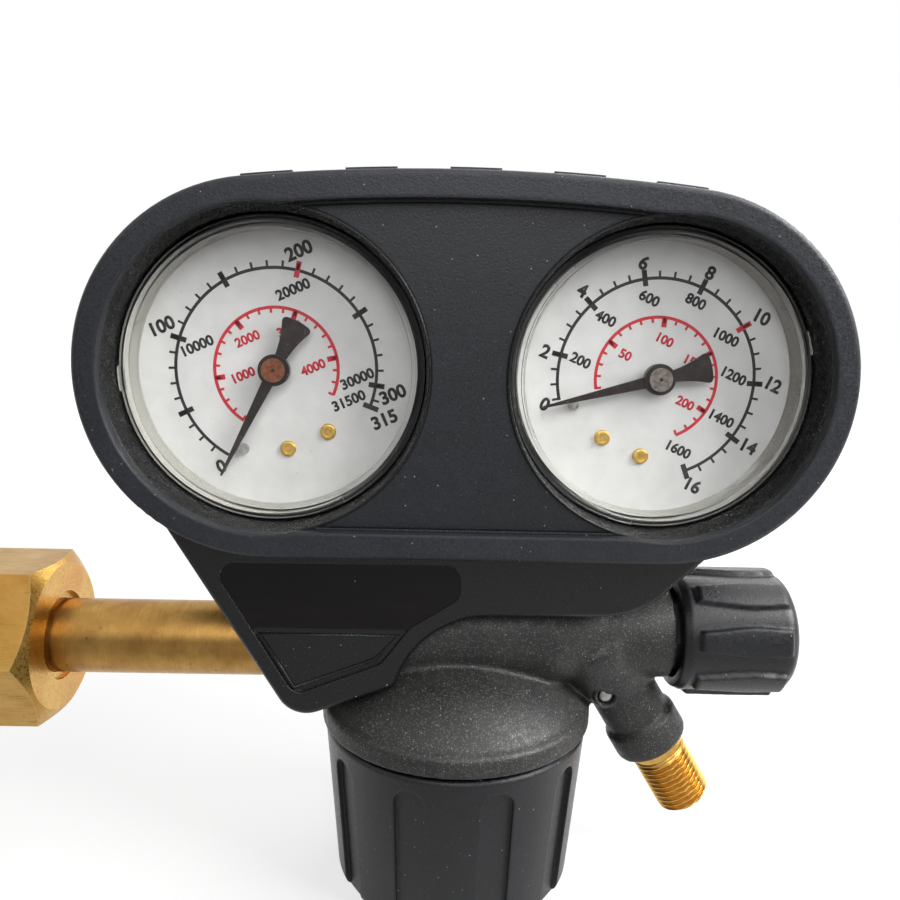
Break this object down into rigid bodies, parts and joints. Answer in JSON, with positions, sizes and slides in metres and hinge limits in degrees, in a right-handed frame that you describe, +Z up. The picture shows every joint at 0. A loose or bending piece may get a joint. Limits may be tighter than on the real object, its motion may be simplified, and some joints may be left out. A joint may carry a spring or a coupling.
{
  "type": "oxygen regulator",
  "caption": "Gas cylinder regulator with two dial gauges in a bumpered cover, an adjusting knob below, a shut-off knob and an angled hose outlet.",
  "frame": {"origin": "centre of the inlet nut's open mouth, where the cylinder valve enters", "axes": "+X along the inlet stem towards the shut-off knob, +Y to the back, +Z up, with the dials facing -Y"},
  "size_m": [0.2044, 0.064, 0.1606],
  "materials": {
    "casting_paint": "satin",
    "brass": "satin",
    "steel": "satin",
    "black_plastic": "matt",
    "gloss_label": "gloss",
    "bumper_rubber": "matt",
    "seal_rubber": "matt",
    "dial_white": "matt",
    "pointer_black": "satin",
    "window_clear": "gloss",
    "case_black": "satin",
    "bronze": "matt"
  },
  "bodies": {
    "body": {"body_casting": "casting_paint", "port_plug": "steel", "outlet_nipple": "brass", "inlet_stem": "brass", "inlet_seal": "seal_rubber", "inlet_filter": "bronze", "diaphragm": "seal_rubber", "seat_cartridge": "brass", "bonnet": "brass", "valve_gland": "brass", "gland_seal": "seal_rubber", "bumper": "bumper_rubber", "gauge_housing": "black_plastic", "centre_panel": "black_plastic", "label_plate": "gloss_label", "rear_cover": "black_plastic", "cover_screws": "steel", "left_gauge_case": "case_black", "left_gauge_socket": "brass", "left_bourdon_tube": "bronze", "left_movement": "brass", "left_dial": "dial_white", "left_dial_rivets": "brass", "left_stop_pin": "steel", "left_window": "window_clear", "right_gauge_case": "case_black", "right_gauge_socket": "brass", "right_bourdon_tube": "bronze", "right_movement": "brass", "right_dial": "dial_white", "right_dial_rivets": "brass", "right_stop_pin": "steel", "right_window": "window_clear"},
    "nut_washer": {"thrust_washer": "brass"},
    "nut": {"inlet_nut": "brass"},
    "adjuster": {"adjusting_knob": "black_plastic", "adjusting_screw": "steel", "knob_screw": "steel"},
    "button": {"spring_button": "brass", "main_spring": "steel"},
    "valve_pin": {"poppet": "brass", "diaphragm_plate": "brass", "poppet_spring": "steel"},
    "shutoff": {"outlet_knob": "black_plastic", "valve_spindle": "brass", "outlet_knob_screw": "steel"},
    "plug": {"valve_plug": "brass"},
    "left_hand": {"left_pointer": "pointer_black", "left_pointer_spindle": "bronze"},
    "left_gear": {"left_sector": "brass"},
    "right_hand": {"right_pointer": "pointer_black", "right_pointer_spindle": "steel"},
    "right_gear": {"right_sector": "brass"}
  },
  "joints": [
    {"name": "nut_slide", "type": "slide", "parent": "body", "child": "nut_washer", "axis": [1, 0, 0], "range_m": [0, 0.03]},
    {"name": "nut_spin", "type": "hinge", "parent": "nut_washer", "child": "nut", "pos_m": [0, 0, 0], "axis": [1, 0, 0], "continuous": true},
    {"name": "adjusting_turn", "type": "hinge", "parent": "body", "child": "adjuster", "pos_m": [0.1266, 0, -0.04], "axis": [0, 0, 1], "range_deg": [0, 1440]},
    {"name": "button_slide", "type": "slide", "parent": "body", "child": "button", "axis": [0, 0, 1], "range_m": [0, 0.008], "deforming": ["main_spring"]},
    {"name": "poppet_slide", "type": "slide", "parent": "body", "child": "valve_pin", "axis": [0, 0, 1], "range_m": [0, 0.0008], "deforming": ["poppet_spring", "diaphragm"]},
    {"name": "outlet_turn", "type": "hinge", "parent": "body", "child": "shutoff", "pos_m": [0.1866, 0, 0.0039], "axis": [1, 0, 0], "range_deg": [0, 540]},
    {"name": "valve_plug_slide", "type": "slide", "parent": "body", "child": "plug", "axis": [1, 0, 0], "range_m": [0, 0.00225]},
    {"name": "left_pointer_turn", "type": "hinge", "parent": "body", "child": "left_hand", "pos_m": [0.0861, -0.014, 0.0647], "axis": [0, 1, 0], "range_deg": [0, 270]},
    {"name": "left_sector_turn", "type": "hinge", "parent": "body", "child": "left_gear", "pos_m": [0.09143, -0.007, 0.05284], "axis": [0, 1, 0], "range_deg": [-30, 0]},
    {"name": "right_pointer_turn", "type": "hinge", "parent": "body", "child": "right_hand", "pos_m": [0.1671, -0.014, 0.0647], "axis": [0, 1, 0], "range_deg": [0, 270]},
    {"name": "right_sector_turn", "type": "hinge", "parent": "body", "child": "right_gear", "pos_m": [0.16177, -0.007, 0.05284], "axis": [0, 1, 0], "range_deg": [-30, 0]}
  ],
  "couplings": [
    {"joint": "button_slide", "follows": "adjusting_turn", "m_per_rad": 0.00031831},
    {"joint": "poppet_slide", "follows": "adjusting_turn", "m_per_rad": 0.000031831},
    {"joint": "valve_plug_slide", "follows": "outlet_turn", "m_per_rad": 0.00023873},
    {"joint": "left_sector_turn", "follows": "left_pointer_turn", "ratio": -0.1111},
    {"joint": "right_sector_turn", "follows": "right_pointer_turn", "ratio": -0.1111}
  ]
}
